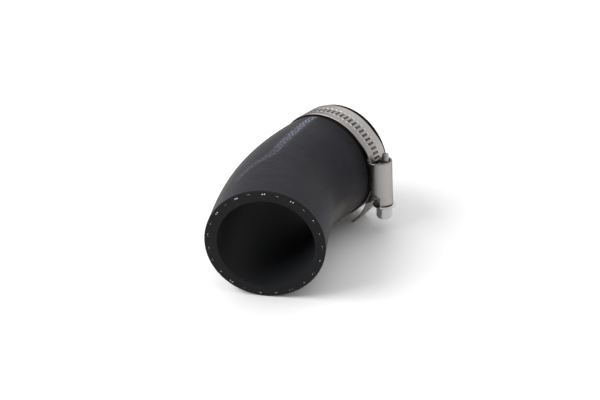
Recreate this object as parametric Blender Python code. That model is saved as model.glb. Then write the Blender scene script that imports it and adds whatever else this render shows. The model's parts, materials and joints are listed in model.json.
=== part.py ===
"""Rubber turbo hose elbow with a worm-drive clamp round its far cuff.

The hose is one thick moulded tube: a short straight leg, a bend and a straight cuff. The clamp is a
steel strip that starts as a hooked tongue in the screw housing, goes once round the cuff, comes back
over its own start under the worm screw and leaves as a loose tail. The screw turns in the housing.
The part lies on its side, as on a bench.
"""

import math

import bmesh
import bpy
from mathutils import Matrix, Vector

# Lengths are in metres and angles in degrees

# Hose sizes. The gather is the share of the bend that comes near its middle, and the pinch is how
# far the wall goes in on the inside of the bend.
hose_outer_diameter = 0.047
hose_wall = 0.0045
bore_shift = 0.0004
near_leg_length = 0.0097
bend_length = 0.0599
bend_angle = 28.2
bend_gather = 0.35
bend_pinch = 0.0020
pinch_spread = 0.25
cuff_before_clamp = 0.0024
lip_past_clamp = 0.0028
edge_break = 0.0003
clamp_bite = 0.0002
bite_run = 0.0010

# Clamp strip sizes. The tail's flare is how far it goes out for each radian once it has left the
# clamp.
band_width = 0.012
band_thickness = 0.0006
band_clearance = 0.0003
layer_gap = 0.0002
tongue_width = 0.0092
tongue_hook_length = 0.0012
tongue_past_housing = 0.0003
tongue_step_run = 0.0002
lap_past_hook = 0.0008
lap_rise_length = 0.0092
tail_start_angle = 25.0
tail_end_angle = 61.4
tail_flare = 0.0062
tail_softness = 0.03
tail_corner = 0.0018
groove_length = 0.0046
groove_width = 0.0009
groove_depth = 0.0003
groove_taper = 0.5
first_groove_from_tail_end = 0.0030
grooved_from_angle = 101.0

# Screw housing sizes. The skirts bend over into sloping roofs, which run into a round arch about the
# screw.
housing_turn = 4.0
housing_sheet = 0.0005
housing_above_centre = 0.0069
housing_below_centre = 0.0131
housing_edge_gap = 0.00015
foot_gap = 0.0002
shoulder_drop = 0.0001
shoulder_bend = 0.0015
arch_growth_at_head = 0.0008
window_start = 0.0054
window_slant = 0.0036
window_past_axis = 0.0006

# Worm screw sizes. The crest and the flank are shares of the pitch, and the dome's rings are shares
# of its height and of the hexagon's half width.
thread_diameter = 0.0046
thread_depth = 0.0006
thread_pitch = 0.00223
thread_crest = 0.375
thread_flank = 0.125
thread_offset = 0.0005
screw_clearance = 0.0003
tip_past_housing = 0.0027
tip_chamfer = 0.0005
neck_diameter = 0.0037
flange_diameter = 0.0102
flange_thickness = 0.0011
flange_chamfer = 0.0003
hex_across_flats = 0.0062
hex_length = 0.0059
hex_dome = 0.0009
hex_dome_rings = ((0.3, 0.94), (0.0, 0.7))
hex_turn = 12.4

# Facets and steps
hose_sides = 48
bend_stations = 14
centre_line_steps = 200
strip_step = 5.0
strip_sample = 0.1
corner_steps = 4
shoulder_steps = 3
arch_steps = 10
housing_stations = 9
screw_sides = 24
thread_stations_per_turn = 5
smooth_below = 35.0

# Sizes that follow
hose_radius = hose_outer_diameter / 2
bore_radius = hose_radius - hose_wall
clamp_start = near_leg_length + bend_length + cuff_before_clamp
clamp_middle = clamp_start + band_width / 2
clamp_end = clamp_start + band_width
hose_length = clamp_end + lip_past_clamp
strip_inner_radius = hose_radius - clamp_bite + band_clearance
first_layer_radius = strip_inner_radius + band_thickness / 2
second_layer_radius = first_layer_radius + band_thickness + layer_gap
second_layer_outside = second_layer_radius + band_thickness / 2
screw_axis_radius = second_layer_outside + screw_clearance + thread_diameter / 2
housing_half_width = band_width / 2 + housing_edge_gap + housing_sheet
shoulder_level = second_layer_outside - shoulder_drop
arch_radius_at_tip = thread_diameter / 2 + screw_clearance + housing_sheet
flange_top = -housing_below_centre - screw_clearance
flange_bottom = flange_top - flange_thickness
head_end = flange_bottom - hex_length
tip_end = housing_above_centre + tip_past_housing
thread_bottom = -housing_below_centre + thread_pitch / 2
rest_pitch = math.atan2(strip_inner_radius + band_thickness - hose_radius, clamp_middle)


def clear_scene():
    """Remove what the file holds at the start."""
    for old in list(bpy.data.objects):
        bpy.data.objects.remove(old, do_unlink=True)


def finish_of(name, colour, roughness, metallic):
    """One plain surface finish."""
    finish = bpy.data.materials.new(name)
    finish.use_nodes = True
    shader = finish.node_tree.nodes["Principled BSDF"]
    shader.inputs["Base Color"].default_value = (*colour, 1.0)
    shader.inputs["Roughness"].default_value = roughness
    shader.inputs["Metallic"].default_value = metallic
    return finish


def empty_at(name, parent, place):
    """A carrier with no shape of its own."""
    carrier = bpy.data.objects.new(name, None)
    carrier.parent = parent
    carrier.matrix_local = place
    bpy.context.collection.objects.link(carrier)
    return carrier


def piece_from(name, shape, carrier, finish):
    """Turn a finished shape into a named piece with round faces smooth and corners sharp."""
    bmesh.ops.recalc_face_normals(shape, faces=shape.faces)
    mesh = bpy.data.meshes.new(name)
    shape.to_mesh(mesh)
    shape.free()
    mesh.shade_smooth()
    mesh.set_sharp_from_angle(angle=math.radians(smooth_below))
    piece = bpy.data.objects.new(name, mesh)
    piece.data.materials.append(finish)
    piece.parent = carrier
    bpy.context.collection.objects.link(piece)
    return piece


def cut_away(piece, cutter):
    """Cut one shape out of a piece."""
    cutter.hide_render = True
    cutter.display_type = "WIRE"
    cut = piece.modifiers.new(cutter.name, "BOOLEAN")
    cut.operation = "DIFFERENCE"
    cut.object = cutter


def skin(shape, loops, ends):
    """Join closed loops of points with quads. The ends wrap round, are single faces or are strips."""
    rows = [[shape.verts.new(point) for point in loop] for loop in loops]
    count = len(rows[0])
    pairs = list(zip(rows, rows[1:]))
    if ends == "wrap":
        pairs.append((rows[-1], rows[0]))
    for row, following in pairs:
        for i in range(count):
            j = (i + 1) % count
            shape.faces.new((row[i], row[j], following[j], following[i]))
    if ends == "face":
        shape.faces.new(rows[0])
        shape.faces.new(rows[-1])
    if ends == "strip":
        for row in (rows[0], rows[-1]):
            for i in range(count // 2 - 1):
                shape.faces.new((row[i], row[i + 1], row[count - 2 - i], row[count - 1 - i]))


def eased(share):
    """Nought to one with level ends."""
    share = min(max(share, 0.0), 1.0)
    return share * share * (3 - 2 * share)


def heading_at(distance):
    """How far the centre line has turned, in radians, at a distance from the near end."""
    share = min(max((distance - near_leg_length) / bend_length, 0.0), 1.0)
    turned = (1 - bend_gather) * share + bend_gather * eased(share)
    return math.radians(bend_angle) * turned


def centre_at(distance):
    """The centre line's point at a distance from the near end, in the plane of the bend."""
    step = distance / centre_line_steps
    place = Vector((0.0, 0.0, 0.0))
    for i in range(centre_line_steps):
        heading = heading_at((i + 0.5) * step)
        place += step * Vector((math.sin(heading), math.cos(heading), 0.0))
    return place


def hose_ring(distance, radius, shift):
    """One ring of the hose, pulled in on the inside of the bend near its middle."""
    heading = heading_at(distance)
    inside = Vector((math.cos(heading), -math.sin(heading), 0.0))
    centre = centre_at(distance) + inside * shift
    from_middle = (distance - near_leg_length - bend_length / 2) / (bend_length * pinch_spread)
    pinch = bend_pinch * math.exp(-(from_middle**2))
    ring = []
    for i in range(hose_sides):
        angle = 2 * math.pi * i / hose_sides
        reach = radius - pinch * max(math.cos(angle), 0.0) ** 2
        ring.append(centre + inside * (reach * math.cos(angle)) + Vector((0, 0, reach * math.sin(angle))))
    return ring


def hose_profile():
    """Distances along the hose, each with how far the outside is drawn in there."""
    profile = [(0.0, edge_break), (edge_break, 0.0), (near_leg_length, 0.0)]
    for i in range(1, bend_stations + 1):
        profile.append((near_leg_length + bend_length * i / bend_stations, 0.0))
    profile.append((clamp_start - bite_run, 0.0))
    profile.append((clamp_start, clamp_bite))
    profile.append((clamp_end, clamp_bite))
    profile.append((clamp_end + bite_run, 0.0))
    profile.append((hose_length - edge_break, 0.0))
    profile.append((hose_length, edge_break))
    return profile


def make_hose(carrier, finish):
    """The moulded rubber elbow, open at both ends."""
    profile = hose_profile()
    loops = [hose_ring(distance, hose_radius - inset, 0.0) for distance, inset in profile]
    inside = [distance for distance, inset in profile if inset == 0.0]
    inside = [0.0, *inside[1:-1], hose_length]
    loops += [hose_ring(distance, bore_radius, bore_shift) for distance in reversed(inside)]
    shape = bmesh.new()
    skin(shape, loops, "wrap")
    return piece_from("hose", shape, carrier, finish)


def angle_of(length):
    """The ring angle, in degrees, that a length along the strip takes up."""
    return math.degrees(length / first_layer_radius)


housing_top_angle = math.degrees(math.asin(housing_above_centre / first_layer_radius))
hook_start_angle = housing_top_angle + angle_of(tongue_past_housing)
strip_start_angle = hook_start_angle + angle_of(tongue_hook_length)
lap_full_angle = strip_start_angle + angle_of(lap_past_hook) - 360
lap_begin_angle = lap_full_angle + angle_of(lap_rise_length)
tail_leaves_angle = -360 - tail_start_angle
strip_end_angle = -360 - tail_end_angle
neck_end_angle = -math.degrees(math.asin(housing_below_centre / first_layer_radius))


def strip_radius(angle):
    """Radius of the strip's middle surface at a ring angle counted down from its start."""
    lap = eased((lap_begin_angle - angle) / (lap_begin_angle - lap_full_angle))
    radius = first_layer_radius + lap * (second_layer_radius - first_layer_radius)
    free = math.radians(max(tail_leaves_angle - angle, 0.0))
    return radius + tail_flare * free * free / (free + tail_softness)


def strip_point(angle):
    """A point of the strip's middle line, in the plane of the clamp."""
    radius = strip_radius(angle)
    turn = math.radians(angle)
    return Vector((radius * math.cos(turn), 0.0, radius * math.sin(turn)))


def strip_directions(angle):
    """Along the strip and outward from it, at a ring angle."""
    along = (strip_point(angle - strip_sample) - strip_point(angle + strip_sample)).normalized()
    outward = Vector((-along.z, 0.0, along.x))
    return along, outward


def strip_stations():
    """Ring angles down the strip, each with the strip's half width there."""
    full = band_width / 2
    neck = tongue_width / 2
    step_run = angle_of(tongue_step_run)
    corner = angle_of(tail_corner)
    stations = [(strip_start_angle, full), (hook_start_angle, full), (hook_start_angle - step_run, neck)]
    angle = hook_start_angle - strip_step
    while angle > neck_end_angle + strip_step / 2:
        stations.append((angle, neck))
        angle -= strip_step
    stations += [(neck_end_angle, neck), (neck_end_angle - step_run, full)]
    angle = neck_end_angle - strip_step
    while angle > strip_end_angle + corner + strip_step / 2:
        stations.append((angle, full))
        angle -= strip_step
    for i in range(corner_steps + 1):
        turn = math.pi / 2 * i / corner_steps
        angle = strip_end_angle + corner * (1 - math.sin(turn))
        stations.append((angle, full - tail_corner * (1 - math.cos(turn))))
    return stations


def make_band(carrier, finish):
    """The clamp's strip, from its hooked tongue once round and over itself to its loose tail."""
    loops = []
    for angle, half_width in strip_stations():
        middle = strip_point(angle)
        outward = strip_directions(angle)[1] * (band_thickness / 2)
        across = Vector((0, half_width, 0))
        loops.append((middle - outward - across, middle + outward - across,
                      middle + outward + across, middle - outward + across))
    shape = bmesh.new()
    skin(shape, loops, "face")
    band = piece_from("clamp_band", shape, carrier, finish)
    cut_away(band, make_grooves(carrier, finish))
    return band


def make_grooves(carrier, finish):
    """Slanted grooves that the worm drives, one for each pitch from the tail back round the strip."""
    slant = thread_pitch / (math.pi * (thread_diameter - thread_depth))
    shape = bmesh.new()
    angle = strip_end_angle + angle_of(first_groove_from_tail_end)
    while angle < grooved_from_angle - 360:
        along, outward = strip_directions(angle)
        middle = strip_point(angle) + outward * (band_thickness / 2) - Vector((0, thread_offset, 0))
        run = (Vector((0, 1, 0)) + along * slant).normalized() * (groove_length / 2)
        narrow = along * (groove_width / 2 * (1 - groove_taper))
        wide = along * (groove_width / 2 * (1 + groove_taper))
        loops = []
        for end in (-run, run):
            floor = middle + end - outward * groove_depth
            top = middle + end + outward * groove_depth
            loops.append((floor - narrow, floor + narrow, top + wide, top - wide))
        skin(shape, loops, "face")
        angle += math.degrees(thread_pitch / strip_radius(angle))
    return piece_from("grooves", shape, carrier, finish)


def roof_slope(side, radius):
    """Slope of the roof that touches both the arch and the shoulder's bend, on the side of this sign."""
    up = screw_axis_radius - shoulder_level
    across = housing_half_width - shoulder_bend + side * thread_offset
    return math.atan2(up, across) + math.asin((radius - shoulder_bend) / math.hypot(up, across))


def arc(centre, radius, start, end, steps):
    """Points of an arc, with angles from the clamp's outward direction towards its far side."""
    points = []
    for i in range(steps + 1):
        turn = start + (end - start) * i / steps
        points.append((centre[0] + radius * math.cos(turn), centre[1] + radius * math.sin(turn)))
    return points


def housing_section(height):
    """The folded sheet's cross-section at a height along the screw: feet, skirts, roofs and arch."""
    towards_head = (housing_above_centre - height) / (housing_above_centre + housing_below_centre)
    arch_radius = arch_radius_at_tip + towards_head * arch_growth_at_head
    near_slope = roof_slope(-1, arch_radius)
    far_slope = roof_slope(1, arch_radius)
    bend_side = housing_half_width - shoulder_bend
    foot_end = tongue_width / 2 + foot_gap
    axis = (screw_axis_radius, -thread_offset)
    lines = []
    for depth, lift in ((0.0, 0.0), (housing_sheet, band_thickness)):
        foot = math.sqrt((strip_inner_radius + lift) ** 2 - height**2)
        skirt = housing_half_width - depth
        bend = shoulder_bend - depth
        line = [(foot, -foot_end), (foot, -skirt)]
        line += arc((shoulder_level, -bend_side), bend, -math.pi / 2, -near_slope, shoulder_steps)
        line += arc(axis, arch_radius - depth, -near_slope, far_slope, arch_steps)
        line += arc((shoulder_level, bend_side), bend, far_slope, math.pi / 2, shoulder_steps)
        line += [(foot, skirt), (foot, foot_end)]
        lines.append(line)
    outer, inner = lines
    return [Vector((x, y, height)) for x, y in outer + inner[::-1]]


def make_housing(carrier, finish):
    """The folded housing over the crossing of the strip, with its feet under the strip's edges."""
    length = housing_above_centre + housing_below_centre
    shape = bmesh.new()
    heights = [housing_above_centre - length * i / (housing_stations - 1) for i in range(housing_stations)]
    skin(shape, [housing_section(height) for height in heights], "strip")
    housing = piece_from("screw_housing", shape, carrier, finish)
    cut_away(housing, make_window(carrier, finish))
    return housing


def make_window(carrier, finish):
    """What is cut from the skirts by the screw's head, so that the thread shows there."""
    low = strip_inner_radius - housing_below_centre
    end = -housing_below_centre - window_slant
    high = screw_axis_radius + window_past_axis
    outline = [(low, -window_start), (strip_inner_radius, -window_start),
               (high, -window_start - window_slant), (high, end), (low, end)]
    reach = housing_half_width + housing_sheet
    loops = [[Vector((x, side, z)) for x, z in outline] for side in (-reach, reach)]
    shape = bmesh.new()
    skin(shape, loops, "face")
    return piece_from("window", shape, carrier, finish)


def thread_radius(turn, height):
    """Radius of a right-hand thread with flat crests, at an angle and a height."""
    phase = (height / thread_pitch - turn / (2 * math.pi)) % 1.0
    from_crest = abs(phase - 0.5) - thread_crest / 2
    drop = min(max(from_crest / thread_flank, 0.0), 1.0)
    return thread_diameter / 2 - thread_depth * drop


def hex_radius(turn):
    """Radius of the hexagon's outline at an angle."""
    sixth = math.pi / 3
    off_flat = (turn - math.radians(hex_turn) + sixth / 2) % sixth - sixth / 2
    return hex_across_flats / 2 / math.cos(off_flat)


def screw_ring(height, radius_at):
    """One ring of the screw."""
    ring = []
    for i in range(screw_sides):
        turn = math.radians(hex_turn) + 2 * math.pi * (i + 0.5) / screw_sides
        radius = radius_at(turn)
        ring.append(Vector((radius * math.cos(turn), radius * math.sin(turn), height)))
    return ring


def make_screw(carrier, finish):
    """The worm screw, built downward from its tip: thread, neck, flange and hexagon."""
    root_radius = thread_diameter / 2 - thread_depth
    rings = [screw_ring(tip_end, lambda turn: root_radius - tip_chamfer)]
    length = tip_end - tip_chamfer - thread_bottom
    count = round(length / thread_pitch * thread_stations_per_turn)
    for i in range(count + 1):
        height = tip_end - tip_chamfer - length * i / count
        rings.append(screw_ring(height, lambda turn: thread_radius(turn, height)))
    flange_radius = flange_diameter / 2
    turned = [(thread_bottom - thread_depth, neck_diameter / 2), (flange_top, neck_diameter / 2),
              (flange_top, flange_radius - flange_chamfer), (flange_top - flange_chamfer, flange_radius),
              (flange_bottom + flange_chamfer, flange_radius),
              (flange_bottom, flange_radius - flange_chamfer)]
    for height, radius in turned:
        rings.append(screw_ring(height, lambda turn: radius))
    rings.append(screw_ring(flange_bottom, hex_radius))
    rings.append(screw_ring(head_end + hex_dome, hex_radius))
    for up, out in hex_dome_rings:
        rings.append(screw_ring(head_end + hex_dome * up, lambda turn: hex_across_flats / 2 * out))
    shape = bmesh.new()
    skin(shape, rings, "face")
    return piece_from("worm_screw", shape, carrier, finish)


def stand_on_ground(whole, pieces):
    """Move the part so that its lowest points lie at nought and its outline is centred on the origin."""
    bpy.context.view_layer.update()
    corners = []
    for piece in pieces:
        corners += [piece.matrix_world @ vertex.co for vertex in piece.data.vertices]
    low = Vector([min(corner[i] for corner in corners) for i in range(3)])
    high = Vector([max(corner[i] for corner in corners) for i in range(3)])
    whole.location = Vector((-(low.x + high.x) / 2, -(low.y + high.y) / 2, -low.z))


def main():
    """Build the four pieces and set them on the ground."""
    clear_scene()
    rubber = finish_of("reinforced_rubber", (0.035, 0.035, 0.038), 0.55, 0.0)
    steel = finish_of("stainless_band", (0.42, 0.40, 0.39), 0.38, 1.0)
    pressed = finish_of("pressed_steel", (0.42, 0.40, 0.39), 0.42, 1.0)
    plated = finish_of("zinc_plated_screw", (0.55, 0.55, 0.54), 0.35, 1.0)

    whole = empty_at("hose_on_bench", None, Matrix.Rotation(rest_pitch, 4, "X"))
    across_bend = Matrix.Rotation(-heading_at(clamp_middle), 4, "Z")
    to_housing = Matrix.Rotation(-math.radians(housing_turn), 4, "Y")
    clamp = empty_at("clamp", whole, Matrix.Translation(centre_at(clamp_middle)) @ across_bend @ to_housing)
    screw_axis = empty_at("screw_axis", clamp, Matrix.Translation((screw_axis_radius, -thread_offset, 0)))

    pieces = [
        make_hose(whole, rubber),
        make_band(clamp, steel),
        make_housing(clamp, pressed),
        make_screw(screw_axis, plated),
    ]
    stand_on_ground(whole, pieces)


main()
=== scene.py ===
"""A rubber turbo hose elbow with a worm-drive clamp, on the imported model's frame."""

import json
import math
import random

import bmesh
import bpy
from bpy.props import FloatProperty, FloatVectorProperty, IntProperty, PointerProperty
from mathutils import Matrix, Vector


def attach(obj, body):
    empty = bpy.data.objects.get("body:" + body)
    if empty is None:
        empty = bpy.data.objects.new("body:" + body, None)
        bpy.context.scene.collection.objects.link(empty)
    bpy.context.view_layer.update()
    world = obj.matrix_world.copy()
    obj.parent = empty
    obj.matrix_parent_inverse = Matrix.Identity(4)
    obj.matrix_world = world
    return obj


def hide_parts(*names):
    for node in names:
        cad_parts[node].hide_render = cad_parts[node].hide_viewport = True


bl_info = {
    "name": "Turbo hose elbow",
    "version": (1, 0, 0),
    "blender": (4, 5, 0),
    "location": "3D View > Sidebar > Turbo hose",
    "description": "Makes a rubber hose elbow and its worm-drive clamp, with floor, light and camera",
    "category": "Object",
}

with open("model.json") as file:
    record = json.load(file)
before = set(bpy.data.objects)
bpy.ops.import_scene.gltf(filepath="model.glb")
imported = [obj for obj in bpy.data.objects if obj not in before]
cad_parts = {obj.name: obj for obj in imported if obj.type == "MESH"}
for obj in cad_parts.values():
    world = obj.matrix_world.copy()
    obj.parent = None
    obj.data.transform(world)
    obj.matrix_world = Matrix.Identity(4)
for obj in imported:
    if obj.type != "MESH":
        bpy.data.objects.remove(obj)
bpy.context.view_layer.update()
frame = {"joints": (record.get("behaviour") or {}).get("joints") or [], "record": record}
mounts = {mount["name"]: mount for mount in frame["record"]["mounts"]}
screw_joint = frame["joints"][0]


def length(name, words, default):
    """A length in metres that the user can set."""
    return FloatProperty(name=name, description=words, default=default, min=0.0, precision=4, unit="LENGTH")


def turn(name, words, default):
    """An angle, given here in degrees, that the user can set."""
    return FloatProperty(name=name, description=words, default=math.radians(default), unit="ROTATION")


def share(name, words, default):
    """A plain number that the user can set."""
    return FloatProperty(name=name, description=words, default=default, precision=3)


def colour(name, words, default):
    """A colour that the user can set."""
    return FloatVectorProperty(name=name, description=words, default=default, subtype="COLOR", min=0, max=1)


class HoseSizes(bpy.types.PropertyGroup):
    """Sizes of the moulded rubber elbow."""

    outer_diameter: length("Outside diameter", "Across the rubber", 0.047)
    wall: length("Wall", "Thickness of the rubber", 0.0045)
    bore_shift: length("Bore shift", "How far the bore sits towards the inside of the bend", 0.0004)
    near_leg: length("Bare leg", "Straight length at the bare end", 0.0097)
    bend_length: length("Bend length", "Length of the bend along the centre line", 0.0599)
    bend_angle: turn("Bend angle", "How far the hose turns", 28.2)
    bend_gather: share("Bend gather", "Share of the turn that comes near the middle of the bend", 0.35)
    pinch: length("Pinch", "How far the wall goes in on the inside of the bend", 0.0020)
    pinch_spread: share("Pinch spread", "Length of the pinch as a share of the bend", 0.25)
    before_clamp: length("Before the clamp", "Straight length from the bend to the strip", 0.0024)
    lip: length("Lip", "Length of the rubber past the strip", 0.0028)
    rim_round: length("Rim rounding", "Rounding of the cut edges", 0.0003)
    squeeze: length("Squeeze", "How far the strip presses into the rubber", 0.0002)
    draw_in: length("Draw-in", "How far the rubber beside the strip is drawn in", 0.0003)


class YarnSizes(bpy.types.PropertyGroup):
    """Sizes of the cut yarn ends in the end faces."""

    ends: IntProperty(name="Yarn ends", description="Places with cut knit", default=24, min=1)
    depth: length("Yarn depth", "How far under the outside the knit lies", 0.0014)
    strand: length("Strand diameter", "Across one strand of the yarn", 0.00022)
    stand_out: length("Stand out", "How far the longest strands stand out of the cut", 0.00022)


class ClampSizes(bpy.types.PropertyGroup):
    """Sizes of the clamp's strip."""

    width: length("Strip width", "Across the strip", 0.012)
    thickness: length("Strip thickness", "Thickness of the steel strip", 0.0006)
    clearance: length("Clearance", "Between the rubber and the strip", 0.0003)
    layer_gap: length("Layer gap", "Between the strip's two layers", 0.0002)
    tongue_width: length("Tongue width", "Across the tongue between the housing's feet", 0.0092)
    tail_start: turn("Tail start", "Where the loose tail leaves the clamp, below its middle", 25.0)
    tail_end: turn("Tail end", "Where the loose tail ends, below the clamp's middle", 61.4)
    tail_flare: length("Tail flare", "How far the tail goes out for each radian", 0.0062)
    groove_length: length("Groove length", "Length of one groove", 0.0040)
    groove_width: length("Groove width", "Width of one groove", 0.0012)
    groove_depth: length("Groove depth", "Depth of one groove", 0.00034)
    groove_slant: share("Groove slant", "How far a groove leans along the strip for its length", 0.06)
    first_groove: length("First groove", "From the tail's end to the first groove", 0.0041)
    grooved_to: turn("Grooved to", "Where the grooves end, above the clamp's middle", 113.0)


class HousingSizes(bpy.types.PropertyGroup):
    """Sizes of the folded screw housing."""

    sheet: length("Sheet", "Thickness of the housing's sheet", 0.0005)
    above: length("Above the middle", "Length above the clamp's middle", 0.0069)
    below: length("Below the middle", "Length below the clamp's middle", 0.0131)
    shoulder_drop: length("Shoulder drop", "Where the skirts start to bend, under the strip", 0.0001)
    shoulder_bend: length("Shoulder bend", "Radius of the bend from a skirt to its roof", 0.0042)
    roof_crown: length("Roof crown", "How far a roof bulges between its bends", 0.0001)
    growth: length("Arch growth", "How much larger the arch is at the screw's head", 0.0008)
    lip: length("Lip", "How far the tip end is turned in", 0.0005)
    tip_slope: length("Tip slope", "How much lower the tip end is on its far side", 0.0014)
    window_start: length("Window start", "Where the cut-out starts below the clamp's middle", 0.0054)
    window_slant: length("Window slant", "How much the cut-out's edge slants", 0.0036)
    window_past_axis: length("Window past axis", "How far the cut-out goes past the screw's axis", 0.0006)


class ScrewSizes(bpy.types.PropertyGroup):
    """Sizes of the worm screw."""

    thread_diameter: length("Thread diameter", "Across the thread's crests", 0.0046)
    thread_depth: length("Thread depth", "From crest to root", 0.0006)
    pitch: length("Pitch", "Advance of the thread in one turn", 0.00223)
    offset: length("Offset", "How far the screw sits towards the bare end", 0.0005)
    clearance: length("Clearance", "Round the screw in its housing", 0.0003)
    tip_past: length("Tip past housing", "How far the tip stands out of the housing", 0.0033)
    neck: length("Neck diameter", "Across the plain neck", 0.0037)
    stub: length("Stub length", "Length of the sheared stub at the tip", 0.0045)
    flange: length("Flange diameter", "Across the flange", 0.0102)
    flange_thickness: length("Flange thickness", "Thickness of the flange", 0.0011)
    hexagon: length("Hexagon", "Across the flats of the head", 0.0062)
    hexagon_length: length("Hexagon length", "Length of the head", 0.0059)
    hexagon_turn: turn("Hexagon turn", "How far the head has been turned", 12.4)


class Looks(bpy.types.PropertyGroup):
    """Colours and texture of the finishes."""

    rubber: colour("Rubber", "Moulded outside of the hose", (0.0128, 0.0120, 0.0166))
    # Painted reflection: a warm brown laid low on the hose and inside its bend, standing in for light
    # thrown up from the floor.
    painted_floor_reflection: colour("Dust", "Brown bloom low on the hose and inside its bend", (0.082, 0.072, 0.062))
    cut: colour("Cut rubber", "Cut end faces", (0.0073, 0.0076, 0.0084))
    bore: colour("Bore", "Inside of the hose", (0.0175, 0.0182, 0.0210))
    yarn: colour("Yarn", "Cut ends of the knit", (0.80, 0.77, 0.64))
    soiled: colour("Soiled yarn", "Cut ends that the blade has blackened", (0.26, 0.26, 0.22))
    print_tint: colour("Worn dashes", "Pale worn dashes on the outside", (0.23, 0.25, 0.31))
    strip: colour("Strip steel", "Rolled stainless strip", (0.42, 0.403, 0.392))
    pressed: colour("Pressed steel", "Folded stainless sheet", (0.36, 0.346, 0.337))
    # Painted shade: a shaded copy of the pressed steel for the housing's inside and the edges of its
    # cut-out.
    housing_shade: colour("Oiled steel", "Inside of the housing, dark with oil", (0.075, 0.072, 0.068))
    zinc: colour("Plated steel", "Zinc-plated screw", (0.62, 0.62, 0.61))
    wrap_pitch: length("Wrap pitch", "Spacing of the wrap lines on the outside", 0.0011)
    wrap_height: length("Wrap height", "Height of the wrap lines", 0.00006)


class StageSizes(bpy.types.PropertyGroup):
    """Floor, lights and camera."""

    floor: colour("Floor", "Plain pale floor", (0.94, 0.94, 0.94))
    room: share("Room light", "Strength of the light from behind the part", 1.12)
    front: share("Front share", "Light from the camera's side, as a share of the light from behind", 0.5)
    left: share("Left share", "Light from the left, as a share of the light from the right", 0.72)
    high: share("High share", "Light from high up, as a share of the light from low down", 0.75)
    top: share("Top light", "Brightness of the large panel overhead", 0.55)
    side: share("Side light", "Brightness of the panel on the left", 5.6)
    place: FloatVectorProperty(name="Camera place", description="Where the camera is",
                               default=(0.036542, -0.356511, 0.216432), unit="LENGTH", precision=4)
    aim: FloatVectorProperty(name="Camera angles", description="Which way the camera points",
                             default=(1.066891, -0.020689, 0.126419), subtype="EULER", precision=4)
    lens: share("Lens", "Focal length for a 36 mm sensor", 57.91)


# The hose's material slots
OUTSIDE, CUT_FACE, BORE = 0, 1, 2


def sizes_of(*groups):
    """The scene's values of one property group, or of several in order."""
    values = [getattr(bpy.context.scene, group) for group in groups]
    return values if len(values) > 1 else values[0]


def maths_node(operation, flipped=False):
    """A method that gives its socket and any other values to a Math node, or, flipped, the others first."""

    def method(self, *others):
        values = (*others, self) if flipped else (self, *others)
        return self.finish.add("ShaderNodeMath", {"operation": operation}, dict(enumerate(values)))

    return method


class Wire:
    """A shader socket that can stand in Python sums. Each sum adds the Math node that works it out."""

    __add__, __radd__ = maths_node("ADD"), maths_node("ADD", flipped=True)
    __sub__, __rsub__ = maths_node("SUBTRACT"), maths_node("SUBTRACT", flipped=True)
    __mul__, __rmul__ = maths_node("MULTIPLY"), maths_node("MULTIPLY", flipped=True)
    __truediv__, __rtruediv__ = maths_node("DIVIDE"), maths_node("DIVIDE", flipped=True)
    __abs__, sine, cosine = maths_node("ABSOLUTE"), maths_node("SINE"), maths_node("COSINE")
    fraction, whole, larger = maths_node("FRACT"), maths_node("FLOOR"), maths_node("MAXIMUM")

    def __init__(self, finish, socket):
        self.finish = finish
        self.socket = socket

    def __neg__(self):
        return self * -1.0

    def step(self, start, end):
        """Nought before start and one past end, with a smooth change between them."""
        return self.finish.add("ShaderNodeMapRange", {"interpolation_type": "SMOOTHSTEP", "clamp": True},
                               {"Value": self, "From Min": start, "From Max": end})


class Nodes:
    """A node tree, built up from Python sums and calls."""

    def __init__(self, tree):
        self.tree = tree

    def add(self, kind, settings=None, values=None, output=0):
        """A node of this type with its settings, and then with its sockets set or linked."""
        node = self.tree.nodes.new(kind)
        for name, value in (settings or {}).items():
            setattr(node, name, value)
        for name, value in (values or {}).items():
            self.feed(node.inputs[name], value)
        return Wire(self, node.outputs[output])

    def feed(self, socket, value):
        """Link a wire to a socket, or set the socket to a constant."""
        if isinstance(value, Wire):
            self.tree.links.new(value.socket, socket)
        elif hasattr(value, "__len__") and len(socket.default_value) == 4 and len(value) == 3:
            socket.default_value = (*value, 1.0)
        else:
            socket.default_value = value

    def mix(self, factor, first, second):
        """A colour between two colours."""
        return self.add("ShaderNodeMix", {"data_type": "RGBA"}, {0: factor, 6: first, 7: second}, output=2)

    def tint(self, base, amount):
        """A colour times an amount."""
        return self.add("ShaderNodeVectorMath", {"operation": "SCALE"}, {0: base, "Scale": amount})

    def parts(self, vector):
        """The three numbers of a vector."""
        first = self.add("ShaderNodeSeparateXYZ", {}, {0: vector})
        return [Wire(self, output) for output in first.socket.node.outputs]

    def vector(self, x, y, z):
        """Three numbers as a vector."""
        return self.add("ShaderNodeCombineXYZ", {}, {"X": x, "Y": y, "Z": z})

    def noise(self, vector, scale, detail=2.0, roughness=0.5):
        """Smooth noise from nought to one."""
        return self.add("ShaderNodeTexNoise", {}, {"Vector": vector, "Scale": scale, "Detail": detail,
                                                   "Roughness": roughness})


class Finish(Nodes):
    """A material, built up round its own shader."""

    def __init__(self, name):
        self.material = bpy.data.materials.new(name)
        self.material.use_nodes = True
        super().__init__(self.material.node_tree)
        self.shader = self.tree.nodes["Principled BSDF"]

    def set(self, **values):
        """Set or link sockets of the shader, with underscores for the spaces in their names."""
        for name, value in values.items():
            self.feed(self.shader.inputs[name.replace("_", " ")], value)

    def surface(self):
        """The place on the surface: round or across it, and along it, each from nought to one."""
        return self.parts(self.add("ShaderNodeUVMap", {"uv_map": "surface"}))[:2]

    def place(self):
        """The place in the object, in metres."""
        return self.add("ShaderNodeTexCoord", {}, {}, output="Object")

    def painted(self, name):
        """A number that the mesh carries at its corners."""
        return self.add("ShaderNodeAttribute", {"attribute_name": name}, {}, output="Fac")

    def bump(self, height, distance):
        """Relief from a height between nought and one that stands for a real distance."""
        return self.add("ShaderNodeBump", {}, {"Distance": distance, "Height": height})


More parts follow.
